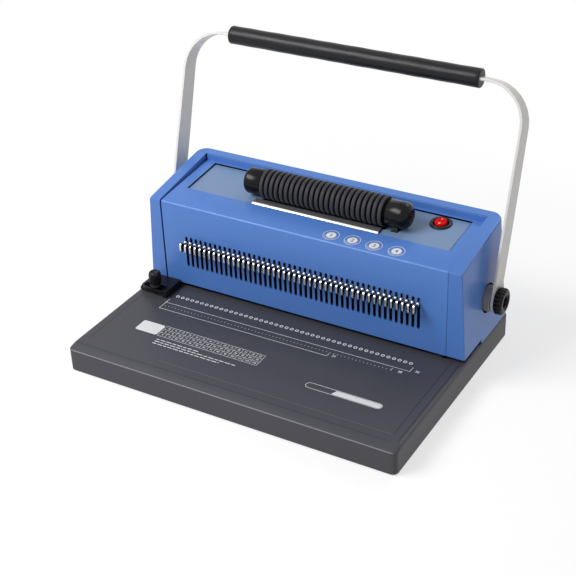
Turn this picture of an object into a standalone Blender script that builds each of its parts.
"""Desk coil binding machine: a lever punch for a row of round holes with a motor roller on top.

Metres, +Z up, front of the machine towards -Y. The origin is under the middle of the whole
machine, on the surface that it stands on. Depths are counted back from the face of the front
cover, so a depth below zero lies in front of it.
"""
from math import asin, atan, cos, hypot, pi, radians, sin, tau

import bpy
import bmesh
from mathutils import Vector

# Hole row: the pitch of the coil sets the whole machine's scale
HOLE_PITCH = 0.00635
HOLE_COUNT = 46
PIN_RADIUS = 0.0020
PIN_SIDES = 6
PIN_DEPTH = 0.0120

# Fits
GAP = 0.0003
RUNNING_GAP = 0.0010
OVERRUN = 0.0020
SHEET = 0.0015

# Base
BASE_MARGIN = 0.052925
BASE_FRONT_REACH = 0.1595
BASE_BACK_DEPTH = 0.1190
BASE_SKIRT_Z = 0.0015
BASE_RIM_Z = 0.0271
BASE_TOP_Z = 0.0313
BASE_BEVEL_DEPTH = 0.0108
BASE_SIDE_ROUND = 0.0040
BASE_BACK_ROUND = 0.0020
BASE_CORNER_RADIUS = 0.0060
ROUND_HEIGHT_SHARE = 0.7
ROUND_INSET_SHARE = 0.3
CORNER_STEPS = 3

# Feet
FOOT_HEIGHT = 0.0030
FOOT_RADIUS = 0.0090
FOOT_TAPER = 0.0010
FOOT_INSET = 0.0200
FOOT_SIDES = 16

# Housing and front cover
HOUSING_TOP_MARGIN = 0.046725
HOUSING_FOOT_MARGIN = 0.052925
HOUSING_TOP_DEPTH = 0.1089
HOUSING_FOOT_DEPTH = 0.1188
HOUSING_REAR_RADIUS = 0.0120
HOUSING_FRONT_RADIUS = 0.0020
HOUSING_EDGE_ROUND = 0.0025
HOUSING_NOTCH_DEPTH = 0.0450
RIM_FRONT_Z = 0.1375
RIM_SLOPE = 0.1589
COVER_SLOPE = 0.0840
COVER_MARGIN = 0.031425
COVER_LEFT_GAP = 0.0020
COVER_RIGHT_GAP = 0.0004
COVER_BEND_RADIUS = 0.0030
COVER_BAND_DEPTH = 0.0960
THROAT_TOP_Z = 0.0364
SLOT_WIDTH = 0.0024
SLOT_LOW_Z = 0.0610
SLOT_HIGH_Z = 0.0980
SLOT_END_STEPS = 3

# Tray on top
TRAY_WINDOW_MARGIN = 0.017625
TRAY_WINDOW_FRONT = 0.0340
TRAY_WINDOW_BACK = 0.0930
TRAY_LAP = 0.0025
STRIP_LEFT_X = -0.0757
STRIP_RIGHT_X = 0.0784
STRIP_BACK = 0.0450
STRIP_THICKNESS = 0.0012

# Roller and its drive
ROLLER_DEPTH = 0.0550
ROLLER_Z = 0.1566
ROLLER_LEFT_X = -0.0693
ROLLER_RIGHT_X = 0.0806
RIB_RADIUS = 0.0167
GROOVE_RADIUS = 0.0150
RIB_CREST_SHARE = 0.58
RIB_PITCH = 0.006246
ROLLER_SIDES = 12
CAP_SIDES = 20
ROLLER_SHAFT_RADIUS = 0.0030
ROLLER_SHAFT_LAP = 0.0165
CAP_RADIUS = 0.0145
CAP_LEFT_ROUND = 0.0055
CAP_RIGHT_ROUND = 0.0090
CAP_ROUND_STEPS = 4
CAP_LEFT_LENGTH = 0.0222
CAP_RIGHT_LENGTH = 0.0275
CAP_WALL = 0.0030
CAP_FOOT_HALF_DEPTH = 0.0080
CAP_FOOT_HEIGHT = 0.0070
PULLEY_LEFT_X = 0.0888
PULLEY_WIDTH = 0.0064
ROLLER_PULLEY_RADIUS = 0.0070
MOTOR_PULLEY_RADIUS = 0.0050
BELT_THICKNESS = 0.0015
BELT_ARC_STEPS = 8
MOTOR_Z = 0.1130
MOTOR_RADIUS = 0.0170
MOTOR_LENGTH = 0.0570
MOTOR_CHAMFER = 0.0015
MOTOR_SHAFT_RADIUS = 0.0020
MOTOR_SHAFT_SEAT = 0.0100
BRACKET_THICKNESS = 0.0020
BRACKET_HALF_DEPTH = 0.0150
BRACKET_DROP = 0.0190

# Switch
SWITCH_INSET = 0.0303
SWITCH_DEPTH = 0.0792
BEZEL_RADIUS = 0.0120
BEZEL_HEIGHT = 0.0018
BEZEL_CHAMFER = 0.0008
BARREL_RADIUS = 0.0100
BARREL_LENGTH = 0.0180
ROCKER_RADIUS = 0.0072
ROCKER_CAVITY_RADIUS = 0.0084
ROCKER_CAVITY_DEPTH = 0.0090
ROCKER_BELOW = 0.0050
ROCKER_ABOVE = 0.0032
ROCKER_WING_SLOPE = 0.16
ROCKER_TILT = radians(7)

# Frames inside
FRAME_MARGIN = 0.025625
FRAME_THICKNESS = 0.0030
FRAME_BACK_DEPTH = 0.1040
FRAME_BACK_DROP = 0.0120
BUSH_RADIUS = 0.0120
BUSH_FLANGE_RADIUS = 0.0150
BUSH_FLANGE_THICKNESS = 0.0020
BUSH_NOSE = 0.0020

# Punch tool
DIE_END_MARGIN = 0.013125
DIE_FRONT = 0.0050
DIE_BACK = 0.0190
DIE_THICKNESS = 0.0100
THROAT_END_MARGIN = 0.0010
GUIDE_FRONT = 0.0050
GUIDE_BACK = 0.0210
GUIDE_THICKNESS = 0.0092
THROAT_CLEARANCE = 0.0004
PAPER_STOP_DEPTH = 0.0170
PIN_TIP_RISE = 0.0015
BAR_FRONT = 0.0060
BAR_BACK = 0.0220
BAR_LOW_Z = 0.0800
BAR_HEIGHT = 0.0240
GROOVE_DEPTH = 0.0083
GROOVE_LOW_Z = 0.0876
GROOVE_HEIGHT = 0.0094
COLUMN_MARGIN = 0.017125
COLUMN_RADIUS = 0.0040
COLUMN_SPIGOT_RADIUS = 0.0025
COLUMN_SPIGOT_LENGTH = 0.0080
COLUMN_TOP_Z = 0.1240
COLUMN_SIDES = 12
SPRING_COILS = 4
SPRING_WIRE = 0.0014
SPRING_RADIUS = 0.0054
SPRING_POINTS_PER_COIL = 8
PUNCH_STROKE = 0.0160

# Pull tabs
LOOSE_TABS_EACH_END = 2
TAB_WIDTH = 0.0018
TAB_REACH = 0.0130
TAB_HEAD_DEPTH = 0.0050
TAB_HEAD_ROUND = 0.0018
TAB_HEAD_LOW_Z = 0.0845
TAB_HEAD_HIGH_Z = 0.0955
TAB_NECK_LOW_Z = 0.0892
TAB_NECK_HIGH_Z = 0.0932
TAB_TAIL_FRONT = 0.0025
TAB_SPINE_FRONT = 0.0080

# Handle
SHAFT_DEPTH = 0.0630
SHAFT_Z = 0.0774
SHAFT_RADIUS = 0.0080
SHAFT_SIDES = 16
SHAFT_BORE_LENGTH = 0.0120
HANDLE_LEAN = radians(16.9)
HANDLE_SWING = radians(85)
ARM_MARGIN = 0.058875
ARM_THICKNESS = 0.0030
ARM_WIDTH = 0.0239
ARM_END_WIDTH = 0.0150
ARM_TAPER_SHARE = 0.45
ARM_ROUND_STEPS = 5
ARM_BARE_END = 0.01035
ARM_BEND_STEPS = 8
ARM_GRIP_LAP = 0.0100
GRIP_DISTANCE = 0.2228
GRIP_MARGIN = 0.006525
GRIP_RADIUS = 0.0102
GRIP_CHAMFER = 0.0015
GRIP_SIDES = 20
CAM_MARGIN = 0.002125
CAM_WIDTH = 0.0090
CAM_HUB_RADIUS = 0.0100
CAM_NOSE_RADIUS = 0.0030
CAM_STEPS = 12
CAM_ARM_THICKNESS = 0.0101
CAM_ARM_FRONT = 0.0330
CAM_ARM_BACK = 0.0780
COLLAR_RADIUS = 0.0145
COLLAR_LENGTH = 0.0120
COLLAR_HOLE_CLEARANCE = 0.0020
KNOB_RADIUS = 0.0145
KNOB_RIB_HEIGHT = 0.0010
KNOB_LENGTH = 0.0095
KNOB_RIBS = 20
KNOB_RECESS_RADIUS = 0.0080
KNOB_RECESS_DEPTH = 0.0015
STUD_RADIUS = 0.0040
STUD_SIDES = 12
STUD_SEAT = 0.0090

# Edge guide
EDGE_GUIDE_OUTER_MARGIN = 0.048625
EDGE_GUIDE_INNER_MARGIN = 0.011625
EDGE_GUIDE_FENCE_WIDTH = 0.0090
EDGE_GUIDE_FRONT = -0.0320
EDGE_GUIDE_BACK = -0.0013
EDGE_GUIDE_TOP_Z = 0.0404
EDGE_GUIDE_LIFT = 0.0020
EDGE_GUIDE_TRAVEL = 0.0080
SCREW_MARGIN = 0.029125
SCREW_DEPTH = -0.0265
SCREW_RADIUS = 0.0020
SCREW_LOW_Z = 0.0225
SCREW_NECK_RADIUS = 0.0045
SCREW_NECK_HEIGHT = 0.0040
SCREW_HEAD_RADIUS = 0.0070
SCREW_HEAD_RIB = 0.0006
SCREW_HEAD_HEIGHT = 0.0150
SCREW_HEAD_RIBS = 16

# Chip drawer
DRAWER_MARGIN = 0.007125
DRAWER_FRONT = 0.0020
DRAWER_HEIGHT = 0.0138
DRAWER_PANEL_MARGIN = 0.0040
DRAWER_PANEL_THICKNESS = 0.0020
DRAWER_PULL_HALF_WIDTH = 0.0250
DRAWER_PULL_REACH = 0.0060

# Power inlet
INLET_INSET = 0.0385
INLET_Z = 0.0700
INLET_HALF_WIDTH = 0.0130
INLET_HALF_HEIGHT = 0.0100
INLET_LIP = 0.0020
INLET_DEPTH = 0.0180
INLET_WALL = 0.0022
INLET_RECESS = 0.0140
BLADE_HALF_WIDTH = 0.0010
BLADE_HALF_HEIGHT = 0.0020
BLADE_LENGTH = 0.0045
BLADE_SPACING = 0.0070

# Places that follow from the sizes above
ROW_HALF_LENGTH = (HOLE_COUNT - 1) / 2 * HOLE_PITCH
DIE_HALF_WIDTH = ROW_HALF_LENGTH + DIE_END_MARGIN
THROAT_HALF_WIDTH = DIE_HALF_WIDTH + THROAT_END_MARGIN
DRAWER_HALF_WIDTH = ROW_HALF_LENGTH + DRAWER_MARGIN
COLUMN_X = ROW_HALF_LENGTH + COLUMN_MARGIN
CAM_MIDDLE_X = ROW_HALF_LENGTH + CAM_MARGIN
FRAME_INNER_X = ROW_HALF_LENGTH + FRAME_MARGIN
BASE_HALF_WIDTH = ROW_HALF_LENGTH + BASE_MARGIN
COVER_HALF_WIDTH = ROW_HALF_LENGTH + COVER_MARGIN
HOUSING_TOP_HALF_WIDTH = ROW_HALF_LENGTH + HOUSING_TOP_MARGIN
HOUSING_FOOT_HALF_WIDTH = ROW_HALF_LENGTH + HOUSING_FOOT_MARGIN
TRAY_WINDOW_HALF_WIDTH = ROW_HALF_LENGTH + TRAY_WINDOW_MARGIN
SWITCH_X = TRAY_WINDOW_HALF_WIDTH - SWITCH_INSET
INLET_X = INLET_INSET - FRAME_INNER_X
EDGE_GUIDE_LEFT_X = -ROW_HALF_LENGTH - EDGE_GUIDE_OUTER_MARGIN
EDGE_GUIDE_RIGHT_X = -ROW_HALF_LENGTH - EDGE_GUIDE_INNER_MARGIN
SCREW_X = -ROW_HALF_LENGTH - SCREW_MARGIN
ARM_MIDDLE_X = ROW_HALF_LENGTH + ARM_MARGIN
GRIP_HALF_LENGTH = ROW_HALF_LENGTH + GRIP_MARGIN
ARM_BEND_RADIUS = ARM_MIDDLE_X - GRIP_HALF_LENGTH - ARM_BARE_END
GRIP_BACK_DEPTH = SHAFT_DEPTH + GRIP_DISTANCE * sin(HANDLE_LEAN) + GRIP_RADIUS
COVER_Y = (BASE_FRONT_REACH - GRIP_BACK_DEPTH) / 2
DIE_TOP_Z = BASE_TOP_Z
SHAFT_END_X = ARM_MIDDLE_X - ARM_THICKNESS / 2 - GAP
CAM_RATE = PUNCH_STROKE / HANDLE_SWING
PAD_Z = SHAFT_Z - CAM_HUB_RADIUS - GAP
GUIDE_LOW_Z = THROAT_TOP_Z + THROAT_CLEARANCE
GUIDE_TOP_Z = GUIDE_LOW_Z + GUIDE_THICKNESS
FLOOR_PLATE_Z = FOOT_HEIGHT + GAP
DRAWER_Z = FLOOR_PLATE_Z + SHEET + GAP
WALL_LEAN = atan((HOUSING_FOOT_DEPTH - HOUSING_TOP_DEPTH) / (RIM_FRONT_Z + RIM_SLOPE * HOUSING_TOP_DEPTH
                                                              - BASE_TOP_Z))


def y_at(depth):
    """World Y of a place this far behind the face of the front cover."""
    return COVER_Y + depth


def rim_z(depth):
    """Height of the housing's sloping rim."""
    return RIM_FRONT_Z + RIM_SLOPE * depth


def cover_z(depth):
    """Height of the front cover's top, which slopes less than the rim."""
    return RIM_FRONT_Z + COVER_SLOPE * depth


def tray_z(depth):
    """Height of the tray's upper face, just under the cover's sheet."""
    return cover_z(depth) - SHEET - GAP


def hole_x(index):
    """Middle of one hole of the row, counted from the left."""
    return (index - (HOLE_COUNT - 1) / 2) * HOLE_PITCH


def bore_radius(radius, sides, gap=GAP):
    """Corner radius of a faceted bore whose flats clear a shaft by the gap."""
    return (radius + gap) / cos(pi / sides)


# Materials

def finish(name, colour, roughness, metallic=0.0):
    """Make one plain material."""
    made = bpy.data.materials.new(name)
    made.use_nodes = True
    shader = made.node_tree.nodes["Principled BSDF"]
    shader.inputs["Base Color"].default_value = (*colour, 1)
    shader.inputs["Roughness"].default_value = roughness
    shader.inputs["Metallic"].default_value = metallic
    return made


for old in list(bpy.data.objects):
    bpy.data.objects.remove(old, do_unlink=True)

BLUE_PAINT = finish("blue_powder_coat", (0.130, 0.250, 0.550), 0.42)
TRAY_PAINT = finish("grey_blue_powder_coat", (0.190, 0.280, 0.460), 0.45)
GRAPHITE_PAINT = finish("graphite_powder_coat", (0.070, 0.070, 0.085), 0.55)
PALE_PAINT = finish("pale_grey_paint", (0.580, 0.565, 0.545), 0.40)
RUBBER = finish("black_rubber", (0.020, 0.020, 0.022), 0.60)
BLACK_GLOSS = finish("black_gloss_plastic", (0.012, 0.012, 0.013), 0.15)
BLACK_PLASTIC = finish("black_plastic", (0.018, 0.018, 0.020), 0.45)
RED_PLASTIC = finish("red_plastic", (0.750, 0.010, 0.010), 0.20)
GREY_PLASTIC = finish("grey_plastic", (0.230, 0.230, 0.240), 0.40)
STEEL = finish("ground_steel", (0.560, 0.570, 0.580), 0.28, 1.0)
POLISHED_STEEL = finish("polished_steel", (0.800, 0.800, 0.810), 0.10, 1.0)
ZINC_STEEL = finish("zinc_plated_steel", (0.500, 0.510, 0.520), 0.38, 1.0)
BRONZE = finish("sintered_bronze", (0.480, 0.300, 0.140), 0.45, 1.0)


# Shape helpers

def add_object(name, mesh_builder, material, smooth=False):
    """Turn a bmesh into a scene object with its faces pointing out."""
    bmesh.ops.recalc_face_normals(mesh_builder, faces=mesh_builder.faces)
    mesh = bpy.data.meshes.new(name)
    mesh_builder.to_mesh(mesh)
    mesh_builder.free()
    if smooth:
        mesh.shade_smooth()
        mesh.set_sharp_from_angle(angle=radians(40))
    made = bpy.data.objects.new(name, mesh)
    bpy.context.scene.collection.objects.link(made)
    if material is not None:
        mesh.materials.append(material)
    return made


def skin(name, loops, material, closed=False, smooth=False):
    """Skin a row of point loops of equal count, capped at its ends or closed into a ring."""
    builder = bmesh.new()
    rows = [[builder.verts.new(point) for point in loop] for loop in loops]
    pairs = list(zip(rows, rows[1:]))
    if closed:
        pairs.append((rows[-1], rows[0]))
    for low, high in pairs:
        for step in range(len(low)):
            ahead = (step + 1) % len(low)
            builder.faces.new((low[step], low[ahead], high[ahead], high[step]))
    if not closed:
        builder.faces.new(rows[0])
        builder.faces.new(rows[-1])
    return add_object(name, builder, material, smooth)


def place(axis, along, first, second):
    """Point from a distance along an axis and two places across it, in X, Y, Z order."""
    if axis == "X":
        return Vector((along, first, second))
    if axis == "Y":
        return Vector((first, along, second))
    return Vector((first, second, along))


def extrude(name, outline, axis, low, high, material, smooth=False):
    """Extrude a flat outline along one axis."""
    loops = [[place(axis, along, *point) for point in outline] for along in (low, high)]
    return skin(name, loops, material, smooth=smooth)


def block(name, x_span, y_span, z_span, material):
    """Rectangular block between three pairs of limits."""
    outline = [(x_span[0], y_span[0]), (x_span[1], y_span[0]), (x_span[1], y_span[1]), (x_span[0], y_span[1])]
    return extrude(name, outline, "Z", *z_span, material)


def circle(radius, sides, middle=(0, 0)):
    """Points of a circle, the first one on its first axis."""
    return [(middle[0] + radius * cos(tau * step / sides), middle[1] + radius * sin(tau * step / sides))
            for step in range(sides)]


def turn(name, profile, axis, middle, sides, material, closed=False):
    """Revolve a profile of (along, radius) pairs about an axis through the middle."""
    loops = [[place(axis, along, *point) for point in circle(radius, sides, middle)]
             for along, radius in profile]
    return skin(name, loops, material, closed=closed, smooth=True)


def arc(middle, radius, start, stop, steps):
    """Points on an arc, angles counted from the first axis towards the second."""
    return [(middle[0] + radius * cos(start + (stop - start) * step / steps),
             middle[1] + radius * sin(start + (stop - start) * step / steps))
            for step in range(steps + 1)]


def rounded_rectangle(low_x, high_x, low_y, high_y, radius):
    """Rectangle with rounded corners, from the lower left corner round to the upper left one."""
    points = []
    corners = [(low_x + radius, low_y + radius, pi), (high_x - radius, low_y + radius, 1.5 * pi),
               (high_x - radius, high_y - radius, 0), (low_x + radius, high_y - radius, pi / 2)]
    for corner_x, corner_y, start in corners:
        points += arc((corner_x, corner_y), radius, start, start + pi / 2, CORNER_STEPS)
    return points


def use_tool(target, tool, operation):
    """Apply a helper solid to a piece as a Boolean, and hide the helper."""
    tool.hide_render = True
    tool.display_type = "WIRE"
    boolean = target.modifiers.new(tool.name, "BOOLEAN")
    boolean.operation = operation
    boolean.solver = "EXACT"
    boolean.object = tool


def cut(target, *tools):
    """Cut helper solids out of a piece."""
    for tool in tools:
        use_tool(target, tool, "DIFFERENCE")


def fuse(target, *tools):
    """Join helper solids to a piece."""
    for tool in tools:
        use_tool(target, tool, "UNION")


def join_copies(name, outline, axis, low, high, offsets, material=None):
    """One mesh with many copies of an extruded outline, spaced along X."""
    builder = bmesh.new()
    for offset in offsets:
        shift = Vector((offset, 0, 0))
        ends = [[builder.verts.new(place(axis, along, *point) + shift) for point in outline]
                for along in (low, high)]
        for step in range(len(outline)):
            ahead = (step + 1) % len(outline)
            builder.faces.new((ends[0][step], ends[0][ahead], ends[1][ahead], ends[1][step]))
        builder.faces.new(ends[0])
        builder.faces.new(ends[1])
    return add_object(name, builder, material)


def pivot(name, location):
    """Empty that carries a moving group, set on its joint."""
    made = bpy.data.objects.new(name, None)
    made.location = location
    bpy.context.scene.collection.objects.link(made)
    return made


def hang_on(parent, *pieces):
    """Parent pieces to an empty and leave them where they are."""
    bpy.context.view_layer.update()
    for piece in pieces:
        piece.parent = parent
        piece.matrix_parent_inverse = parent.matrix_world.inverted()


def both_sides():
    """The two sides of the machine by name and sign."""
    return (("left", -1), ("right", 1))


# Base

def base_outline(front, side, back, radius):
    """Plan of the base, drawn in from its front, its sides and its back."""
    return rounded_rectangle(-BASE_HALF_WIDTH + side, BASE_HALF_WIDTH - side,
                             y_at(-BASE_FRONT_REACH + front), y_at(BASE_BACK_DEPTH - back), radius)


def at_height(outline, z):
    """Lift a flat outline to one height."""
    return [Vector((x, y, z)) for x, y in outline]


def make_base():
    """Sheet-metal base with its sloping front edge, windows for the die and the drawer."""
    rise = BASE_TOP_Z - BASE_RIM_Z
    full = base_outline(0, 0, 0, BASE_CORNER_RADIUS)
    middle = base_outline(BASE_BEVEL_DEPTH * ROUND_HEIGHT_SHARE, BASE_SIDE_ROUND * ROUND_INSET_SHARE,
                          BASE_BACK_ROUND * ROUND_INSET_SHARE, BASE_CORNER_RADIUS)
    top = base_outline(BASE_BEVEL_DEPTH, BASE_SIDE_ROUND, BASE_BACK_ROUND, BASE_CORNER_RADIUS)
    base = skin("base_pan", [at_height(full, BASE_SKIRT_Z), at_height(full, BASE_RIM_Z),
                             at_height(middle, BASE_RIM_Z + rise * ROUND_HEIGHT_SHARE),
                             at_height(top, BASE_TOP_Z)], GRAPHITE_PAINT)
    inner = base_outline(SHEET, SHEET, SHEET, BASE_CORNER_RADIUS - SHEET)
    inner_top = base_outline(BASE_BEVEL_DEPTH + SHEET, BASE_SIDE_ROUND + SHEET, BASE_BACK_ROUND + SHEET,
                             BASE_CORNER_RADIUS - SHEET)
    hollow = skin("base_hollow", [at_height(inner, BASE_SKIRT_Z - OVERRUN), at_height(inner, BASE_RIM_Z - SHEET),
                                  at_height(inner_top, BASE_TOP_Z - SHEET)], None)
    die_window = block("die_window", (-DIE_HALF_WIDTH - GAP, DIE_HALF_WIDTH + GAP),
                       (y_at(DIE_FRONT - GAP), y_at(DIE_BACK + GAP)),
                       (BASE_TOP_Z - SHEET - OVERRUN, BASE_TOP_Z + OVERRUN), None)
    mouth_half = DRAWER_HALF_WIDTH + 2 * GAP
    drawer_mouth = block("drawer_mouth", (-mouth_half, mouth_half),
                         (y_at(BASE_BACK_DEPTH - SHEET - OVERRUN), y_at(BASE_BACK_DEPTH + OVERRUN)),
                         (DRAWER_Z - GAP, DRAWER_Z + DRAWER_HEIGHT + 2 * GAP), None)
    screw_hole = turn("screw_hole", [(BASE_TOP_Z - SHEET - OVERRUN, bore_radius(SCREW_RADIUS, STUD_SIDES)),
                                     (BASE_TOP_Z + OVERRUN, bore_radius(SCREW_RADIUS, STUD_SIDES))],
                      "Z", (SCREW_X, y_at(SCREW_DEPTH)), STUD_SIDES, None)
    cut(base, hollow, die_window, drawer_mouth, screw_hole)

    inset = SHEET + GAP
    floor_outline = base_outline(inset, inset, inset, BASE_CORNER_RADIUS - SHEET)
    extrude("bottom_plate", floor_outline, "Z", FLOOR_PLATE_Z, FLOOR_PLATE_Z + SHEET, ZINC_STEEL)

    for side, sign in both_sides():
        for end, depth in (("front", -BASE_FRONT_REACH + FOOT_INSET), ("rear", BASE_BACK_DEPTH - FOOT_INSET)):
            turn(f"foot_{end}_{side}", [(0, FOOT_RADIUS - FOOT_TAPER), (FOOT_HEIGHT, FOOT_RADIUS)], "Z",
                 (sign * (BASE_HALF_WIDTH - FOOT_INSET), y_at(depth)), FOOT_SIDES, RUBBER)


# Housing and covers

def housing_loop(half_width, back, front, rear_radius, height):
    """Plan loop of the housing, at a height given by a rule on the depth."""
    corner = HOUSING_FRONT_RADIUS
    outline = arc((-half_width + corner, front + corner), corner, pi, 1.5 * pi, CORNER_STEPS)
    outline += arc((half_width - corner, front + corner), corner, 1.5 * pi, 2 * pi, CORNER_STEPS)
    outline += arc((half_width - rear_radius, back - rear_radius), rear_radius, 0, pi / 2, 2 * CORNER_STEPS)
    outline += arc((-half_width + rear_radius, back - rear_radius), rear_radius, pi / 2, pi, 2 * CORNER_STEPS)
    return [Vector((x, y_at(depth), height(depth))) for x, depth in outline]


def make_housing():
    """Outer shell: both sides, the back, the rim on top and the two front flanges, as one piece."""
    edge = HOUSING_EDGE_ROUND
    foot_z = BASE_TOP_Z + GAP
    shell = skin("outer_housing", [
        housing_loop(HOUSING_FOOT_HALF_WIDTH, HOUSING_FOOT_DEPTH, 0, HOUSING_REAR_RADIUS, lambda depth: foot_z),
        housing_loop(HOUSING_TOP_HALF_WIDTH, HOUSING_TOP_DEPTH, 0, HOUSING_REAR_RADIUS,
                     lambda depth: rim_z(depth) - edge),
        housing_loop(HOUSING_TOP_HALF_WIDTH - edge * ROUND_INSET_SHARE, HOUSING_TOP_DEPTH - edge * ROUND_INSET_SHARE,
                     edge * ROUND_INSET_SHARE, HOUSING_REAR_RADIUS,
                     lambda depth: rim_z(depth) - edge * ROUND_INSET_SHARE),
        housing_loop(HOUSING_TOP_HALF_WIDTH - edge, HOUSING_TOP_DEPTH - edge, edge, HOUSING_REAR_RADIUS, rim_z),
    ], BLUE_PAINT, smooth=True)
    hollow = skin("housing_hollow", [
        housing_loop(HOUSING_FOOT_HALF_WIDTH - SHEET, HOUSING_FOOT_DEPTH - SHEET, SHEET,
                     HOUSING_REAR_RADIUS - SHEET, lambda depth: foot_z - OVERRUN),
        housing_loop(HOUSING_TOP_HALF_WIDTH - SHEET, HOUSING_TOP_DEPTH - SHEET, SHEET,
                     HOUSING_REAR_RADIUS - SHEET, lambda depth: rim_z(depth) - SHEET - edge),
        housing_loop(HOUSING_TOP_HALF_WIDTH - SHEET - edge, HOUSING_TOP_DEPTH - SHEET - edge, SHEET + edge,
                     HOUSING_REAR_RADIUS - SHEET, lambda depth: rim_z(depth) - SHEET),
    ], None)
    window = block("cover_window", (-COVER_HALF_WIDTH - COVER_LEFT_GAP / 2, COVER_HALF_WIDTH + COVER_RIGHT_GAP),
                   (y_at(-OVERRUN), y_at(COVER_BAND_DEPTH + SHEET + GAP)),
                   (foot_z - OVERRUN, rim_z(HOUSING_TOP_DEPTH) + OVERRUN), None)
    notch_half = HOUSING_FOOT_HALF_WIDTH + OVERRUN
    notch = block("throat_notch", (-notch_half, notch_half), (y_at(-OVERRUN), y_at(HOUSING_NOTCH_DEPTH)),
                  (foot_z - 2 * OVERRUN, THROAT_TOP_Z), None)
    collar_hole_radius = COLLAR_RADIUS + COLLAR_HOLE_CLEARANCE
    collar_holes = turn("collar_holes", [(-notch_half, collar_hole_radius), (notch_half, collar_hole_radius)],
                        "X", (y_at(SHAFT_DEPTH), SHAFT_Z), 2 * SHAFT_SIDES, None)
    inlet_window = block("inlet_window", (-INLET_HALF_WIDTH - GAP, INLET_HALF_WIDTH + GAP), (-OVERRUN, OVERRUN),
                         (-INLET_HALF_HEIGHT - GAP, INLET_HALF_HEIGHT + GAP), None)
    set_on_back_wall(inlet_window)
    cut(shell, hollow, window, notch, collar_holes, inlet_window)


def set_on_back_wall(piece):
    """Set a piece made at the origin onto the leaning back wall, its +Y outwards."""
    share = (INLET_Z - BASE_TOP_Z) / (rim_z(HOUSING_TOP_DEPTH) - BASE_TOP_Z)
    wall_depth = HOUSING_FOOT_DEPTH + (HOUSING_TOP_DEPTH - HOUSING_FOOT_DEPTH) * share
    piece.location = (INLET_X, y_at(wall_depth), INLET_Z)
    piece.rotation_euler = (WALL_LEAN, 0, 0)


def cover_outline():
    """Section of the front cover: face, bend, sloping top and the band that rises to the rim."""
    bend = COVER_BEND_RADIUS
    slope = atan(COVER_SLOPE)
    bend_middle = (bend, cover_z(0) - bend)
    outer = arc(bend_middle, bend, pi, pi / 2 + slope, CORNER_STEPS)
    inner = arc(bend_middle, bend - SHEET, pi / 2 + slope, pi, CORNER_STEPS)
    band_top = rim_z(COVER_BAND_DEPTH) - GAP
    outline = [(0, THROAT_TOP_Z)] + outer
    outline += [(COVER_BAND_DEPTH, cover_z(COVER_BAND_DEPTH)), (COVER_BAND_DEPTH, band_top)]
    outline += [(COVER_BAND_DEPTH + SHEET, band_top), (COVER_BAND_DEPTH + SHEET, cover_z(COVER_BAND_DEPTH) - SHEET)]
    outline += inner + [(SHEET, THROAT_TOP_Z)]
    return [(y_at(depth), z) for depth, z in outline]


def slot_outline():
    """Outline of one tab slot, round at both ends."""
    radius = SLOT_WIDTH / 2
    low = arc((0, SLOT_LOW_Z + radius), radius, pi, 2 * pi, SLOT_END_STEPS)
    high = arc((0, SLOT_HIGH_Z - radius), radius, 0, pi, SLOT_END_STEPS)
    return low + high


def make_front_cover():
    """Blue cover with one slot for each tab and the window for the tray."""
    cover = extrude("front_cover", cover_outline(), "X", -COVER_HALF_WIDTH + COVER_LEFT_GAP / 2, COVER_HALF_WIDTH,
                    BLUE_PAINT)
    slots = join_copies("tab_slots", slot_outline(), "Y", y_at(-OVERRUN), y_at(SHEET + OVERRUN),
                        [hole_x(index) for index in range(HOLE_COUNT)])
    tray_window = block("tray_window", (-TRAY_WINDOW_HALF_WIDTH, TRAY_WINDOW_HALF_WIDTH),
                        (y_at(TRAY_WINDOW_FRONT), y_at(TRAY_WINDOW_BACK)),
                        (cover_z(TRAY_WINDOW_FRONT) - SHEET - OVERRUN, cover_z(TRAY_WINDOW_BACK) + OVERRUN), None)
    cut(cover, slots, tray_window)


def sloping_plate(name, x_span, depths, top, thickness, material):
    """Plate between two depths whose upper face follows a height rule."""
    outline = [(y_at(depths[0]), top(depths[0]) - thickness), (y_at(depths[1]), top(depths[1]) - thickness),
               (y_at(depths[1]), top(depths[1])), (y_at(depths[0]), top(depths[0]))]
    return extrude(name, outline, "X", *x_span, material)


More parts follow.
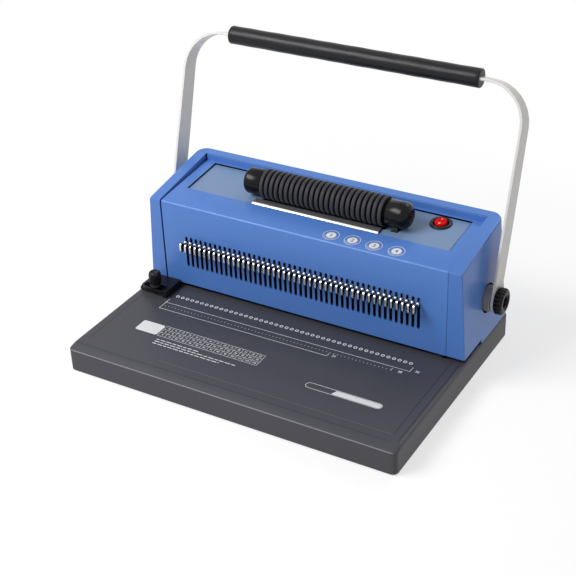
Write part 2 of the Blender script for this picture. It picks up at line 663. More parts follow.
def make_tray():
    """Sunk tray under the roller, and the polished strip that the coil lies on."""
    half_width = FRAME_INNER_X + FRAME_THICKNESS
    tray = sloping_plate("tray_plate", (-half_width, half_width),
                         (TRAY_WINDOW_FRONT - TRAY_LAP, TRAY_WINDOW_BACK + TRAY_LAP), tray_z, SHEET, TRAY_PAINT)
    reach = RIB_RADIUS + RUNNING_GAP
    half_slot = (reach ** 2 - (ROLLER_Z - tray_z(ROLLER_DEPTH) - SHEET / 2) ** 2) ** 0.5
    low, high = tray_z(0) - SHEET, tray_z(TRAY_WINDOW_BACK) + OVERRUN
    roller_slot = block("roller_slot", (ROLLER_LEFT_X - RUNNING_GAP, ROLLER_RIGHT_X + RUNNING_GAP),
                        (y_at(ROLLER_DEPTH - half_slot), y_at(ROLLER_DEPTH + half_slot)), (low, high), None)
    belt_half = ROLLER_PULLEY_RADIUS + GAP + BELT_THICKNESS + RUNNING_GAP
    belt_slot = block("belt_slot", (PULLEY_LEFT_X - RUNNING_GAP, PULLEY_LEFT_X + PULLEY_WIDTH + RUNNING_GAP),
                      (y_at(ROLLER_DEPTH - belt_half), y_at(ROLLER_DEPTH + belt_half)), (low, high), None)
    switch_hole = turn("switch_hole", [(-SHEET - OVERRUN, bore_radius(BARREL_RADIUS, ROLLER_SIDES)),
                                       (OVERRUN, bore_radius(BARREL_RADIUS, ROLLER_SIDES))],
                       "Z", (0, 0), ROLLER_SIDES, None)
    set_on_tray(switch_hole)
    cut(tray, roller_slot, belt_slot, switch_hole)
    sloping_plate("guide_strip", (STRIP_LEFT_X, STRIP_RIGHT_X), (TRAY_WINDOW_FRONT + GAP, STRIP_BACK),
                  lambda depth: tray_z(depth) + GAP + STRIP_THICKNESS, STRIP_THICKNESS, POLISHED_STEEL)


def set_on_tray(piece, tilt=0.0):
    """Set a piece made at the origin onto the sloping tray at the switch."""
    piece.location = (SWITCH_X, y_at(SWITCH_DEPTH), tray_z(SWITCH_DEPTH))
    piece.rotation_euler = (atan(COVER_SLOPE) + tilt, 0, 0)


def make_switch():
    """Round rocker switch: bezel with its barrel, and the rocker on its own pivot."""
    seat = GAP
    rim = seat + BEZEL_HEIGHT
    bezel = turn("switch_bezel", [(-ROCKER_CAVITY_DEPTH, ROCKER_CAVITY_RADIUS), (rim, ROCKER_CAVITY_RADIUS),
                                  (rim, BEZEL_RADIUS - BEZEL_CHAMFER), (rim - BEZEL_CHAMFER, BEZEL_RADIUS),
                                  (seat, BEZEL_RADIUS), (seat, BARREL_RADIUS), (-BARREL_LENGTH, BARREL_RADIUS)],
                 "Z", (0, 0), ROLLER_SIDES, BLACK_PLASTIC)
    set_on_tray(bezel)
    rocker = turn("switch_rocker", [(-ROCKER_BELOW, ROCKER_RADIUS), (2 * ROCKER_ABOVE, ROCKER_RADIUS)],
                  "Z", (0, 0), ROLLER_SIDES, RED_PLASTIC)
    reach = ROCKER_RADIUS + OVERRUN
    wing = ROCKER_ABOVE + reach * ROCKER_WING_SLOPE
    hollow = extrude("rocker_top", [(0, ROCKER_ABOVE), (reach, wing), (reach, wing + 2 * ROCKER_ABOVE),
                                    (-reach, wing + 2 * ROCKER_ABOVE), (-reach, wing)], "X", -reach, reach, None)
    for piece in (rocker, hollow):
        set_on_tray(piece, ROCKER_TILT)
    cut(rocker, hollow)


# Roller and its drive

def make_roller():
    """Ribbed rubber sleeve on a steel shaft that carries the driven pulley."""
    spot = (y_at(ROLLER_DEPTH), ROLLER_Z)
    bore = bore_radius(ROLLER_SHAFT_RADIUS, ROLLER_SIDES)
    ribs = round((ROLLER_RIGHT_X - ROLLER_LEFT_X) / RIB_PITCH)
    pitch = (ROLLER_RIGHT_X - ROLLER_LEFT_X) / ribs
    profile = [(ROLLER_LEFT_X, bore), (ROLLER_LEFT_X, GROOVE_RADIUS)]
    gap_share = (1 - RIB_CREST_SHARE) / 2
    for rib in range(ribs):
        start = ROLLER_LEFT_X + rib * pitch
        if rib:
            profile.append((start, GROOVE_RADIUS))
        profile.append((start + pitch * gap_share, RIB_RADIUS))
        profile.append((start + pitch * (gap_share + RIB_CREST_SHARE), RIB_RADIUS))
    profile += [(ROLLER_RIGHT_X, GROOVE_RADIUS), (ROLLER_RIGHT_X, bore)]
    sleeve = turn("roller_sleeve", profile, "X", spot, ROLLER_SIDES, RUBBER, closed=True)
    shaft_left = ROLLER_LEFT_X - ROLLER_SHAFT_LAP
    shaft_right = ROLLER_RIGHT_X + CAP_RIGHT_LENGTH - CAP_WALL - GAP
    shaft = turn("roller_shaft", [(shaft_left, ROLLER_SHAFT_RADIUS), (PULLEY_LEFT_X, ROLLER_SHAFT_RADIUS),
                                  (PULLEY_LEFT_X, ROLLER_PULLEY_RADIUS),
                                  (PULLEY_LEFT_X + PULLEY_WIDTH, ROLLER_PULLEY_RADIUS),
                                  (PULLEY_LEFT_X + PULLEY_WIDTH, ROLLER_SHAFT_RADIUS),
                                  (shaft_right, ROLLER_SHAFT_RADIUS)], "X", spot, ROLLER_SIDES, STEEL)
    hang_on(pivot("roller_axis", (0, *spot)), sleeve, shaft)


def cap_end(face_x, sign, end_round):
    """Profile of a cap's rounded outer end, from its side round to its flat."""
    return [(face_x + sign * (along - end_round), radius) for along, radius in
            arc((0, CAP_RADIUS - end_round), end_round, pi / 2, 0, CAP_ROUND_STEPS)]


def make_roller_caps():
    """Bearing cap at each end of the roller. The right one also houses the driven pulley."""
    spot = (y_at(ROLLER_DEPTH), ROLLER_Z)
    bore = bore_radius(ROLLER_SHAFT_RADIUS, ROLLER_SIDES)
    left_face = ROLLER_LEFT_X - GAP
    left_end = ROLLER_LEFT_X - CAP_LEFT_LENGTH
    left = turn("roller_cap_left", [(ROLLER_LEFT_X - ROLLER_SHAFT_LAP - GAP, bore), (left_face, bore),
                                    (left_face, CAP_RADIUS)] + cap_end(left_end, -1, CAP_LEFT_ROUND),
                "X", spot, CAP_SIDES, BLACK_GLOSS)
    right_face = ROLLER_RIGHT_X + GAP
    right_end = ROLLER_RIGHT_X + CAP_RIGHT_LENGTH
    chamber_end = PULLEY_LEFT_X + PULLEY_WIDTH + RUNNING_GAP
    right = turn("roller_cap_right", [(right_end - CAP_WALL, bore), (chamber_end, bore),
                                      (chamber_end, CAP_RADIUS - CAP_WALL), (right_face, CAP_RADIUS - CAP_WALL),
                                      (right_face, CAP_RADIUS)] + cap_end(right_end, 1, CAP_RIGHT_ROUND),
                 "X", spot, CAP_SIDES, BLACK_GLOSS)
    for side, piece, low, high in (("left", left, left_end + CAP_LEFT_ROUND, left_face - GAP),
                                   ("right", right, right_face + GAP, right_end - CAP_RIGHT_ROUND)):
        depths = (ROLLER_DEPTH - CAP_FOOT_HALF_DEPTH, ROLLER_DEPTH + CAP_FOOT_HALF_DEPTH)
        top = tray_z(ROLLER_DEPTH) + CAP_FOOT_HEIGHT - CAP_WALL
        foot = extrude(f"cap_foot_{side}", [(y_at(depths[0]), tray_z(depths[0]) + GAP),
                                            (y_at(depths[1]), tray_z(depths[1]) + GAP),
                                            (y_at(depths[1]), top), (y_at(depths[0]), top)], "X", low, high, None)
        fuse(piece, foot)
    belt_half = ROLLER_PULLEY_RADIUS + GAP + BELT_THICKNESS + RUNNING_GAP
    slot = block("cap_belt_slot", (PULLEY_LEFT_X - RUNNING_GAP, chamber_end),
                 (y_at(ROLLER_DEPTH - belt_half), y_at(ROLLER_DEPTH + belt_half)),
                 (tray_z(0) - OVERRUN, ROLLER_Z), None)
    cut(right, slot)


def belt_outline(clearance):
    """Loop round both pulleys, this far outside them."""
    reach = ROLLER_Z - MOTOR_Z
    lean = asin((ROLLER_PULLEY_RADIUS - MOTOR_PULLEY_RADIUS) / reach)
    depth = y_at(ROLLER_DEPTH)
    upper = arc((depth, ROLLER_Z), ROLLER_PULLEY_RADIUS + clearance, -lean, pi + lean, BELT_ARC_STEPS)
    lower = arc((depth, MOTOR_Z), MOTOR_PULLEY_RADIUS + clearance, pi + lean, 2 * pi - lean, BELT_ARC_STEPS)
    return upper + lower


def make_drive():
    """Motor under the tray, its pulley, the flat belt up to the roller and the bracket."""
    spot = (y_at(ROLLER_DEPTH), MOTOR_Z)
    motor_right = PULLEY_LEFT_X - 2 * RUNNING_GAP
    motor_left = motor_right - MOTOR_LENGTH
    bore = bore_radius(MOTOR_SHAFT_RADIUS, STUD_SIDES)
    motor = turn("drive_motor", [(motor_right, MOTOR_RADIUS), (motor_left + MOTOR_CHAMFER, MOTOR_RADIUS),
                                 (motor_left, MOTOR_RADIUS - MOTOR_CHAMFER)],
                 "X", spot, 2 * STUD_SIDES, ZINC_STEEL)
    socket = turn("motor_socket", [(motor_right - MOTOR_SHAFT_SEAT, bore), (motor_right + OVERRUN, bore)], "X",
                  spot, STUD_SIDES, None)
    cut(motor, socket)
    rotor = turn("motor_pulley", [(motor_right - MOTOR_SHAFT_SEAT + GAP, MOTOR_SHAFT_RADIUS),
                                  (PULLEY_LEFT_X, MOTOR_SHAFT_RADIUS), (PULLEY_LEFT_X, MOTOR_PULLEY_RADIUS),
                                  (PULLEY_LEFT_X + PULLEY_WIDTH, MOTOR_PULLEY_RADIUS)],
                 "X", spot, STUD_SIDES, STEEL)
    hang_on(pivot("motor_axis", (0, *spot)), rotor)
    sides = [(PULLEY_LEFT_X, GAP), (PULLEY_LEFT_X, GAP + BELT_THICKNESS),
             (PULLEY_LEFT_X + PULLEY_WIDTH, GAP + BELT_THICKNESS), (PULLEY_LEFT_X + PULLEY_WIDTH, GAP)]
    skin("drive_belt", [[Vector((x, y, z)) for y, z in belt_outline(clearance)] for x, clearance in sides], RUBBER,
         closed=True)
    depths = (ROLLER_DEPTH - BRACKET_HALF_DEPTH, ROLLER_DEPTH + BRACKET_HALF_DEPTH)
    low = MOTOR_Z - BRACKET_DROP
    extrude("motor_bracket", [(y_at(depths[0]), low), (y_at(depths[1]), low),
                              (y_at(depths[1]), tray_z(depths[1]) - SHEET - GAP),
                              (y_at(depths[0]), tray_z(depths[0]) - SHEET - GAP)], "X",
            motor_left - GAP - BRACKET_THICKNESS, motor_left - GAP, ZINC_STEEL)


# Frames, bushes and the punch tool

def make_frames():
    """Side frames that carry the handle shaft in bronze bushes."""
    spot = (y_at(SHAFT_DEPTH), SHAFT_Z)
    front = SHEET + GAP
    tray_front, tray_back = TRAY_WINDOW_FRONT, TRAY_WINDOW_BACK

    def top_z(depth):
        return tray_z(depth) - SHEET - GAP

    outline = [(front, BASE_TOP_Z + GAP), (FRAME_BACK_DEPTH, BASE_TOP_Z + GAP),
               (FRAME_BACK_DEPTH, top_z(tray_back) - FRAME_BACK_DROP), (tray_back, top_z(tray_back)),
               (tray_front, top_z(tray_front)), (front, top_z(front))]
    outer = FRAME_INNER_X + FRAME_THICKNESS
    for side, sign in both_sides():
        frame = extrude(f"side_frame_{side}", [(y_at(depth), z) for depth, z in outline], "X",
                        sign * FRAME_INNER_X, sign * outer, ZINC_STEEL)
        hole_radius = bore_radius(BUSH_RADIUS, 2 * SHAFT_SIDES)
        hole = turn(f"bush_hole_{side}", [(sign * (FRAME_INNER_X - OVERRUN), hole_radius),
                                          (sign * (outer + OVERRUN), hole_radius)],
                    "X", spot, 2 * SHAFT_SIDES, None)
        cut(frame, hole)
        bore = bore_radius(SHAFT_RADIUS, SHAFT_SIDES)
        flange_x = outer + GAP
        turn(f"shaft_bush_{side}", [(sign * (FRAME_INNER_X - BUSH_NOSE), bore),
                                    (sign * (FRAME_INNER_X - BUSH_NOSE), BUSH_RADIUS),
                                    (sign * flange_x, BUSH_RADIUS), (sign * flange_x, BUSH_FLANGE_RADIUS),
                                    (sign * (flange_x + BUSH_FLANGE_THICKNESS), BUSH_FLANGE_RADIUS),
                                    (sign * (flange_x + BUSH_FLANGE_THICKNESS), bore)],
             "X", spot, SHAFT_SIDES, BRONZE, closed=True)


def pin_holes(name, low, high):
    """One cutter for the whole row of pin holes."""
    outline = [(x, y_at(PIN_DEPTH) + y) for y, x in circle(bore_radius(PIN_RADIUS, PIN_SIDES), PIN_SIDES)]
    return join_copies(name, outline, "Z", low, high, [hole_x(index) for index in range(HOLE_COUNT)])


def make_tool():
    """Die under the paper and guide plate over it, both with the row of holes, and two columns."""
    die = block("die_plate", (-DIE_HALF_WIDTH, DIE_HALF_WIDTH), (y_at(DIE_FRONT), y_at(DIE_BACK)),
                (DIE_TOP_Z - DIE_THICKNESS, DIE_TOP_Z), STEEL)
    cut(die, pin_holes("die_holes", DIE_TOP_Z - DIE_THICKNESS - OVERRUN, DIE_TOP_Z + OVERRUN))
    half_width = FRAME_INNER_X - GAP
    guide = block("pin_guide_plate", (-half_width, half_width), (y_at(GUIDE_FRONT), y_at(GUIDE_BACK)),
                  (BASE_TOP_Z + GAP, GUIDE_TOP_Z), STEEL)
    throat = block("throat_cut", (-THROAT_HALF_WIDTH, THROAT_HALF_WIDTH),
                   (y_at(GUIDE_FRONT - OVERRUN), y_at(PAPER_STOP_DEPTH)), (BASE_TOP_Z - OVERRUN, GUIDE_LOW_Z), None)
    cut(guide, throat, pin_holes("guide_holes", BASE_TOP_Z, GUIDE_TOP_Z + OVERRUN))
    for side, sign in both_sides():
        spot = (sign * COLUMN_X, y_at(PIN_DEPTH))
        socket_radius = bore_radius(COLUMN_SPIGOT_RADIUS, COLUMN_SIDES)
        socket = turn(f"column_socket_{side}", [(GUIDE_TOP_Z - COLUMN_SPIGOT_LENGTH, socket_radius),
                                                (GUIDE_TOP_Z + OVERRUN, socket_radius)], "Z", spot, COLUMN_SIDES, None)
        cut(guide, socket)
        turn(f"guide_column_{side}", [(GUIDE_TOP_Z - COLUMN_SPIGOT_LENGTH + GAP, COLUMN_SPIGOT_RADIUS),
                                      (GUIDE_TOP_Z + GAP, COLUMN_SPIGOT_RADIUS), (GUIDE_TOP_Z + GAP, COLUMN_RADIUS),
                                      (COLUMN_TOP_Z, COLUMN_RADIUS)], "Z", spot, COLUMN_SIDES, STEEL)
        make_spring(f"return_spring_{side}", spot)


def make_spring(name, spot):
    """Compression spring round a column, between the guide plate and the punch bar."""
    wire = SPRING_WIRE / 2
    low = GUIDE_TOP_Z + GAP + wire
    high = BAR_LOW_Z - GAP - wire
    count = SPRING_COILS * SPRING_POINTS_PER_COIL
    points = []
    for step in range(count + 1):
        angle = tau * step / SPRING_POINTS_PER_COIL
        points.append((spot[0] + SPRING_RADIUS * cos(angle), spot[1] + SPRING_RADIUS * sin(angle),
                       low + (high - low) * step / count))
    curve = bpy.data.curves.new(name, "CURVE")
    curve.dimensions = "3D"
    curve.bevel_depth = wire
    curve.bevel_resolution = 1
    curve.use_fill_caps = True
    spline = curve.splines.new("POLY")
    spline.points.add(len(points) - 1)
    for target, point in zip(spline.points, points):
        target.co = (*point, 1)
    spring = bpy.data.objects.new(name, curve)
    curve.materials.append(STEEL)
    bpy.context.scene.collection.objects.link(spring)
    turn_rise = (high - low) / SPRING_COILS
    print(f"{name}: least gap between turns {1000 * (turn_rise - SPRING_WIRE):.2f} mm")


def head_outline():
    """A tab's head with its rounded corners, from the top of its neck forwards and back below."""
    front, back = -TAB_REACH, -TAB_REACH + TAB_HEAD_DEPTH
    low, high, corner = TAB_HEAD_LOW_Z, TAB_HEAD_HIGH_Z, TAB_HEAD_ROUND
    share = ROUND_INSET_SHARE
    return [(back, TAB_NECK_HIGH_Z), (back - corner * share, high - corner * share), (back - corner, high),
            (front + corner, high), (front + corner * share, high - corner * share), (front, high - corner),
            (front, low + corner), (front + corner * share, low + corner * share), (front + corner, low),
            (back - corner, low), (back, low + corner), (back, TAB_NECK_LOW_Z)]


def tab_outline():
    """Side view of one loose tab: tail in the bar's groove, neck through the slot, hooked head."""
    tail_back = BAR_FRONT + GROOVE_DEPTH - GAP
    low, high = GROOVE_LOW_Z + GAP, GROOVE_LOW_Z + GROOVE_HEIGHT - GAP
    outline = [(tail_back, low), (tail_back, high), (TAB_TAIL_FRONT, high), (TAB_TAIL_FRONT, TAB_NECK_HIGH_Z)]
    outline += head_outline() + [(TAB_TAIL_FRONT, TAB_NECK_LOW_Z), (TAB_TAIL_FRONT, low)]
    return [(y_at(depth), z) for depth, z in outline]


def tooth_outline():
    """Side view of one tab of the comb, whose neck ends inside the comb's spine."""
    neck_back = TAB_SPINE_FRONT + OVERRUN
    outline = [(neck_back, TAB_NECK_HIGH_Z)] + head_outline() + [(neck_back, TAB_NECK_LOW_Z)]
    return [(y_at(depth), z) for depth, z in outline]


def make_carriage():
    """Punch bar with its pins and cam arms, and the pull tabs that it carries."""
    groove_high = GROOVE_LOW_Z + GROOVE_HEIGHT
    half_width = FRAME_INNER_X - RUNNING_GAP
    section = [(BAR_FRONT, BAR_LOW_Z), (BAR_BACK, BAR_LOW_Z), (BAR_BACK, BAR_LOW_Z + BAR_HEIGHT),
               (BAR_FRONT, BAR_LOW_Z + BAR_HEIGHT), (BAR_FRONT, groove_high),
               (BAR_FRONT + GROOVE_DEPTH, groove_high), (BAR_FRONT + GROOVE_DEPTH, GROOVE_LOW_Z),
               (BAR_FRONT, GROOVE_LOW_Z)]
    bar = extrude("punch_carriage", [(y_at(depth), z) for depth, z in section], "X", -half_width, half_width, STEEL)
    pin_outline = [(x, y_at(PIN_DEPTH) + y) for y, x in circle(PIN_RADIUS, PIN_SIDES)]
    seat = OVERRUN / 2
    pins = join_copies("punch_pins", pin_outline, "Z", GUIDE_LOW_Z + PIN_TIP_RISE, BAR_LOW_Z + seat,
                       [hole_x(index) for index in range(HOLE_COUNT)])
    pad_low = PAD_Z - CAM_ARM_THICKNESS
    joint_low, joint_high = BAR_LOW_Z + OVERRUN, BAR_LOW_Z + BAR_HEIGHT - 2 * OVERRUN
    web = BAR_BACK + OVERRUN
    arm = [(BAR_BACK - 2 * OVERRUN, joint_high), (web, joint_high), (CAM_ARM_FRONT, PAD_Z + CAM_ARM_THICKNESS),
           (CAM_ARM_FRONT, PAD_Z), (CAM_ARM_BACK, PAD_Z), (CAM_ARM_BACK, pad_low),
           (CAM_ARM_FRONT + 2 * OVERRUN, pad_low), (web, joint_low), (BAR_BACK - 2 * OVERRUN, joint_low)]
    arms = []
    for side, sign in both_sides():
        middle = sign * CAM_MIDDLE_X
        arms.append(extrude(f"cam_arm_{side}", [(y_at(depth), z) for depth, z in arm], "X",
                            middle - CAM_WIDTH / 2, middle + CAM_WIDTH / 2, None))
    fuse(bar, pins, *arms)
    holes = []
    for side, sign in both_sides():
        radius = bore_radius(COLUMN_RADIUS, COLUMN_SIDES)
        holes.append(turn(f"column_hole_{side}", [(BAR_LOW_Z - OVERRUN, radius),
                                                  (BAR_LOW_Z + BAR_HEIGHT + OVERRUN, radius)],
                          "Z", (sign * COLUMN_X, y_at(PIN_DEPTH)), COLUMN_SIDES, None))
    cut(bar, *holes)

    first, last = LOOSE_TABS_EACH_END, HOLE_COUNT - LOOSE_TABS_EACH_END
    tail_back = BAR_FRONT + GROOVE_DEPTH - GAP
    spine = block("tab_comb", (hole_x(first) - TAB_WIDTH / 2, hole_x(last - 1) + TAB_WIDTH / 2),
                  (y_at(TAB_SPINE_FRONT), y_at(tail_back)), (GROOVE_LOW_Z + GAP, groove_high - GAP), ZINC_STEEL)
    teeth = join_copies("comb_teeth", tooth_outline(), "X", -TAB_WIDTH / 2, TAB_WIDTH / 2,
                        [hole_x(index) for index in range(first, last)])
    fuse(spine, teeth)
    carriage = pivot("carriage_slide", (0, y_at(PIN_DEPTH), BAR_LOW_Z))
    hang_on(carriage, bar, spine)
    for index in list(range(first)) + list(range(last, HOLE_COUNT)):
        tab = extrude(f"pull_tab_{index + 1:02d}", tab_outline(), "X",
                      hole_x(index) - TAB_WIDTH / 2, hole_x(index) + TAB_WIDTH / 2, ZINC_STEEL)
        tab_slide = pivot(f"tab_slide_{index + 1:02d}", (hole_x(index), y_at(0), TAB_NECK_LOW_Z))
        hang_on(tab_slide, tab)
        hang_on(carriage, tab_slide)


# Handle

def cam_outline():
    """Outline of a cam whose flat follower sinks in proportion to the handle's turn.

    The working flank is the involute with support distance hub + rate * angle, its angle counted
    from straight down towards the front. A round nose closes it, and the hub closes the rest.
    """
    def direction(angle):
        return Vector((-sin(angle), -cos(angle)))

    def flank(angle):
        ahead = Vector((-cos(angle), sin(angle)))
        return direction(angle) * (CAM_HUB_RADIUS + CAM_RATE * angle) + ahead * CAM_RATE

    nose_middle = flank(HANDLE_SWING) - direction(HANDLE_SWING) * CAM_NOSE_RADIUS
    reach = hypot(*nose_middle)
    bearing = asin(-nose_middle.y / reach) if nose_middle.x < 0 else 0
    nose_end = pi - asin((CAM_HUB_RADIUS - CAM_NOSE_RADIUS) / reach) - bearing
    points = [flank(HANDLE_SWING * step / CAM_STEPS) for step in range(CAM_STEPS + 1)]
    for step in range(1, CAM_STEPS // 2 + 1):
        angle = HANDLE_SWING + (nose_end - HANDLE_SWING) * step / (CAM_STEPS // 2)
        points.append(nose_middle + direction(angle) * CAM_NOSE_RADIUS)
    for step in range(CAM_STEPS):
        angle = nose_end + (tau - nose_end) * step / (CAM_STEPS - 1)
        points.append(direction(angle) * CAM_HUB_RADIUS)
    return [(y_at(SHAFT_DEPTH) + point.x, SHAFT_Z + point.y) for point in points]


def arm_sections(sign):
    """Sections of one flat-bar arm, from its round foot over the bend into the grip."""
    lean_up = Vector((0, sin(HANDLE_LEAN), cos(HANDLE_LEAN)))
    across = Vector((0, cos(HANDLE_LEAN), -sin(HANDLE_LEAN)))
    outward = Vector((sign, 0, 0))
    foot = Vector((sign * ARM_MIDDLE_X, y_at(SHAFT_DEPTH), SHAFT_Z))
    half_width = ARM_WIDTH / 2
    straight = GRIP_DISTANCE - ARM_BEND_RADIUS
    sections = []

    def add(middle, normal, width):
        corners = ((1, 1), (1, -1), (-1, -1), (-1, 1))
        sections.append([middle + across * width * side + normal * ARM_THICKNESS / 2 * face
                         for side, face in corners])

    for step in range(ARM_ROUND_STEPS):
        angle = pi / 2 * (1 - (step + 0.5) / ARM_ROUND_STEPS)
        add(foot - lean_up * half_width * sin(angle), outward, half_width * cos(angle))
    add(foot, outward, half_width)
    add(foot + lean_up * straight * (1 - ARM_TAPER_SHARE), outward, half_width)
    bend_middle = foot + lean_up * straight - outward * ARM_BEND_RADIUS
    for step in range(ARM_BEND_STEPS + 1):
        angle = pi / 2 * step / ARM_BEND_STEPS
        normal = outward * cos(angle) + lean_up * sin(angle)
        share = step / ARM_BEND_STEPS
        start_width = half_width - (ARM_WIDTH - ARM_END_WIDTH) / 2 * (1 - ROUND_HEIGHT_SHARE)
        add(bend_middle + normal * ARM_BEND_RADIUS, normal,
            start_width + (ARM_END_WIDTH / 2 - start_width) * share)
    end_x = GRIP_HALF_LENGTH - ARM_GRIP_LAP
    grip_middle = Vector((sign * end_x, foot.y, foot.z)) + lean_up * GRIP_DISTANCE
    add(grip_middle, lean_up, ARM_END_WIDTH / 2)
    return sections


def make_knob(side, sign, spot):
    """Ribbed clamping knob outside the arm, with the stud that enters the shaft."""
    near = ARM_MIDDLE_X + ARM_THICKNESS / 2 + GAP
    far = near + KNOB_LENGTH
    outline = []
    for step in range(2 * KNOB_RIBS):
        radius = KNOB_RADIUS - (KNOB_RIB_HEIGHT if step % 2 else 0)
        angle = tau * step / (2 * KNOB_RIBS)
        outline.append((spot[0] + radius * cos(angle), spot[1] + radius * sin(angle)))
    knob = extrude(f"handle_knob_{side}", outline, "X", sign * near, sign * far, BLACK_PLASTIC)
    stud = turn(f"knob_stud_{side}", [(sign * (SHAFT_END_X - STUD_SEAT), STUD_RADIUS),
                                      (sign * (near + OVERRUN), STUD_RADIUS)], "X", spot, STUD_SIDES, None)
    recess = turn(f"knob_recess_{side}", [(sign * (far - KNOB_RECESS_DEPTH), KNOB_RECESS_RADIUS),
                                          (sign * (far + OVERRUN), KNOB_RECESS_RADIUS)], "X", spot, SHAFT_SIDES, None)
    fuse(knob, stud)
    cut(knob, recess)
    return knob


def make_handle():
    """Shaft, cams, collars, arms and grip, which turn together, and the two clamping knobs."""
    spot = (y_at(SHAFT_DEPTH), SHAFT_Z)
    stud_bore = bore_radius(STUD_RADIUS, STUD_SIDES)
    shaft = turn("handle_shaft", [(-SHAFT_END_X, SHAFT_RADIUS), (SHAFT_END_X, SHAFT_RADIUS)], "X", spot,
                 SHAFT_SIDES, STEEL)
    shaft_bore = bore_radius(SHAFT_RADIUS, SHAFT_SIDES)
    turning = [shaft]
    handle = pivot("handle_axis", (0, *spot))
    for side, sign in both_sides():
        bore = turn(f"shaft_bore_{side}", [(sign * (SHAFT_END_X - SHAFT_BORE_LENGTH), stud_bore),
                                           (sign * (SHAFT_END_X + OVERRUN), stud_bore)], "X", spot, STUD_SIDES, None)
        cut(shaft, bore)
        middle = sign * CAM_MIDDLE_X
        cam = extrude(f"punch_cam_{side}", cam_outline(), "X", middle - CAM_WIDTH / 2, middle + CAM_WIDTH / 2, STEEL)
        hole = turn(f"cam_bore_{side}", [(middle - CAM_WIDTH, shaft_bore), (middle + CAM_WIDTH, shaft_bore)], "X",
                    spot, SHAFT_SIDES, None)
        cut(cam, hole)
        collar_low = SHAFT_END_X - COLLAR_LENGTH
        collar = turn(f"shaft_collar_{side}", [(sign * collar_low, shaft_bore), (sign * collar_low, COLLAR_RADIUS),
                                               (sign * SHAFT_END_X, COLLAR_RADIUS),
                                               (sign * SHAFT_END_X, shaft_bore)],
                      "X", spot, SHAFT_SIDES, GREY_PLASTIC, closed=True)
        arm = skin(f"handle_arm_{side}", arm_sections(sign), PALE_PAINT)
        arm_hole = turn(f"arm_hole_{side}", [(sign * SHAFT_END_X, stud_bore),
                                             (sign * (ARM_MIDDLE_X + ARM_THICKNESS), stud_bore)], "X", spot,
                        STUD_SIDES, None)
        cut(arm, arm_hole)
        turning += [cam, collar, arm]
        knob_axis = pivot(f"knob_axis_{side}", (sign * ARM_MIDDLE_X, *spot))
        hang_on(knob_axis, make_knob(side, sign, spot))
        hang_on(handle, knob_axis)

    grip_y = spot[0] + GRIP_DISTANCE * sin(HANDLE_LEAN)
    grip_z = spot[1] + GRIP_DISTANCE * cos(HANDLE_LEAN)
    grip = turn("handle_grip", [(-GRIP_HALF_LENGTH, GRIP_RADIUS - GRIP_CHAMFER),
                                (-GRIP_HALF_LENGTH + GRIP_CHAMFER, GRIP_RADIUS),
                                (GRIP_HALF_LENGTH - GRIP_CHAMFER, GRIP_RADIUS),
                                (GRIP_HALF_LENGTH, GRIP_RADIUS - GRIP_CHAMFER)],
                "X", (grip_y, grip_z), GRIP_SIDES, RUBBER)
    half_wide, half_thick = ARM_END_WIDTH / 2 + GAP, ARM_THICKNESS / 2 + GAP
    slot_start = GRIP_HALF_LENGTH - ARM_GRIP_LAP - GAP
    for side, sign in both_sides():
        slot = block(f"grip_slot_{side}", tuple(sorted((sign * slot_start, sign * (GRIP_HALF_LENGTH + OVERRUN)))),
                     (-half_wide, half_wide), (-half_thick, half_thick), None)
        slot.location = (0, grip_y, grip_z)
        slot.rotation_euler = (-HANDLE_LEAN, 0, 0)
        cut(grip, slot)
    hang_on(handle, *turning, grip)


# Edge guide, drawer and inlet

def make_edge_guide():
    """Paper fence that slides on the base, and the thumb screw that clamps it."""
    low = BASE_TOP_Z + GAP
    lifted = low + EDGE_GUIDE_LIFT
    fence_x = EDGE_GUIDE_RIGHT_X - EDGE_GUIDE_FENCE_WIDTH
    outline = [(EDGE_GUIDE_LEFT_X, lifted), (fence_x, lifted), (fence_x, low), (EDGE_GUIDE_RIGHT_X, low),
               (EDGE_GUIDE_RIGHT_X, EDGE_GUIDE_TOP_Z), (EDGE_GUIDE_LEFT_X, EDGE_GUIDE_TOP_Z)]
    guide = extrude("edge_guide", outline, "Y", y_at(EDGE_GUIDE_FRONT), y_at(EDGE_GUIDE_BACK), BLACK_PLASTIC)
    slot_radius = bore_radius(SCREW_RADIUS, STUD_SIDES)
    long_slot = arc((SCREW_X - EDGE_GUIDE_TRAVEL, y_at(SCREW_DEPTH)), slot_radius, pi / 2, 1.5 * pi, CORNER_STEPS)
    long_slot += arc((SCREW_X + EDGE_GUIDE_TRAVEL, y_at(SCREW_DEPTH)), slot_radius, -pi / 2, pi / 2, CORNER_STEPS)
    slot = extrude("edge_guide_slot", long_slot, "Z", low - OVERRUN, EDGE_GUIDE_TOP_Z + OVERRUN, None)
    cut(guide, slot)
    hang_on(pivot("edge_guide_slide", (SCREW_X, y_at(SCREW_DEPTH), low)), guide)

    neck_z = EDGE_GUIDE_TOP_Z + GAP
    head_z = neck_z + SCREW_NECK_HEIGHT
    knurled = []
    for step in range(2 * SCREW_HEAD_RIBS):
        radius = SCREW_HEAD_RADIUS - (SCREW_HEAD_RIB if step % 2 else 0)
        angle = tau * step / (2 * SCREW_HEAD_RIBS)
        knurled.append((SCREW_X + radius * cos(angle), y_at(SCREW_DEPTH) + radius * sin(angle)))
    head = extrude("edge_guide_screw", knurled, "Z", head_z, head_z + SCREW_HEAD_HEIGHT, BLACK_PLASTIC)
    stem = turn("screw_stem", [(SCREW_LOW_Z, SCREW_RADIUS), (neck_z, SCREW_RADIUS), (neck_z, SCREW_NECK_RADIUS),
                               (head_z + OVERRUN, SCREW_NECK_RADIUS)], "Z", (SCREW_X, y_at(SCREW_DEPTH)),
                STUD_SIDES, None)
    fuse(head, stem)
    hang_on(pivot("edge_guide_screw_axis", (SCREW_X, y_at(SCREW_DEPTH), neck_z)), head)


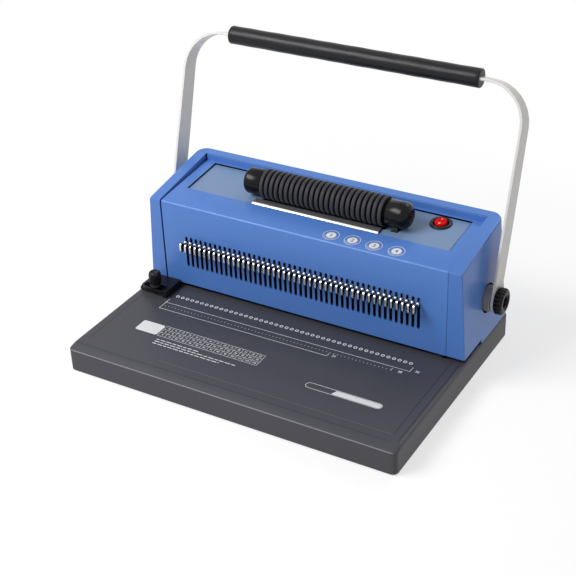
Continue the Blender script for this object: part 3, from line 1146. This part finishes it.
def rectangle_loop(half_width, y_span, z):
    """Rectangle at one height, symmetric about the middle plane."""
    return [Vector((-half_width, y_span[0], z)), Vector((half_width, y_span[0], z)),
            Vector((half_width, y_span[1], z)), Vector((-half_width, y_span[1], z))]


def make_drawer():
    """Open drawer that catches the punched chips, with its panel behind the base."""
    panel_front = BASE_BACK_DEPTH + GAP
    outer = (y_at(DRAWER_FRONT), y_at(panel_front + DRAWER_PANEL_THICKNESS / 2))
    inner = (y_at(DRAWER_FRONT + SHEET), y_at(BASE_BACK_DEPTH - SHEET))
    top = DRAWER_Z + DRAWER_HEIGHT
    drawer = skin("chip_drawer", [rectangle_loop(DRAWER_HALF_WIDTH, outer, DRAWER_Z),
                                  rectangle_loop(DRAWER_HALF_WIDTH, outer, top),
                                  rectangle_loop(DRAWER_HALF_WIDTH - SHEET, inner, top),
                                  rectangle_loop(DRAWER_HALF_WIDTH - SHEET, inner, DRAWER_Z + SHEET)], BLACK_PLASTIC)
    panel_half = DRAWER_HALF_WIDTH + DRAWER_PANEL_MARGIN
    panel_back = panel_front + DRAWER_PANEL_THICKNESS
    panel_top = top + DRAWER_PANEL_MARGIN / 2
    panel = block("drawer_panel", (-panel_half, panel_half), (y_at(panel_front), y_at(panel_back)),
                  (DRAWER_Z - SHEET, panel_top), None)
    pull = block("drawer_pull", (-DRAWER_PULL_HALF_WIDTH, DRAWER_PULL_HALF_WIDTH),
                 (y_at(panel_front + DRAWER_PANEL_THICKNESS / 2), y_at(panel_back + DRAWER_PULL_REACH)),
                 (panel_top - 2 * SHEET, panel_top - SHEET), None)
    fuse(drawer, panel, pull)
    hang_on(pivot("drawer_slide", (0, y_at(BASE_BACK_DEPTH), DRAWER_Z)), drawer)


def inlet_loop(half_width, half_height, y):
    """Upright rectangle of the inlet at one depth."""
    return [Vector((-half_width, y, -half_height)), Vector((half_width, y, -half_height)),
            Vector((half_width, y, half_height)), Vector((-half_width, y, half_height))]


def make_inlet():
    """Mains inlet in the back wall, with its recess and three blades."""
    half_width, half_height = INLET_HALF_WIDTH, INLET_HALF_HEIGHT
    lip = INLET_LIP + GAP
    inlet = skin("power_inlet", [inlet_loop(half_width, half_height, -INLET_DEPTH),
                                 inlet_loop(half_width, half_height, GAP),
                                 inlet_loop(half_width + INLET_LIP, half_height + INLET_LIP, GAP),
                                 inlet_loop(half_width + INLET_LIP, half_height + INLET_LIP, lip),
                                 inlet_loop(half_width - INLET_WALL, half_height - INLET_WALL, lip),
                                 inlet_loop(half_width - INLET_WALL, half_height - INLET_WALL, -INLET_RECESS)],
                 BLACK_PLASTIC)
    outline = [(-BLADE_HALF_WIDTH, -BLADE_HALF_HEIGHT), (BLADE_HALF_WIDTH, -BLADE_HALF_HEIGHT),
               (BLADE_HALF_WIDTH, BLADE_HALF_HEIGHT), (-BLADE_HALF_WIDTH, BLADE_HALF_HEIGHT)]
    blades = join_copies("inlet_blades", outline, "Y", -INLET_RECESS - OVERRUN / 2, -INLET_RECESS + BLADE_LENGTH,
                         [-BLADE_SPACING, 0, BLADE_SPACING])
    for piece in (inlet, blades):
        set_on_back_wall(piece)
    fuse(inlet, blades)


make_base()
make_housing()
make_front_cover()
make_tray()
make_switch()
make_roller()
make_roller_caps()
make_drive()
make_frames()
make_tool()
make_carriage()
make_handle()
make_edge_guide()
make_drawer()
make_inlet()
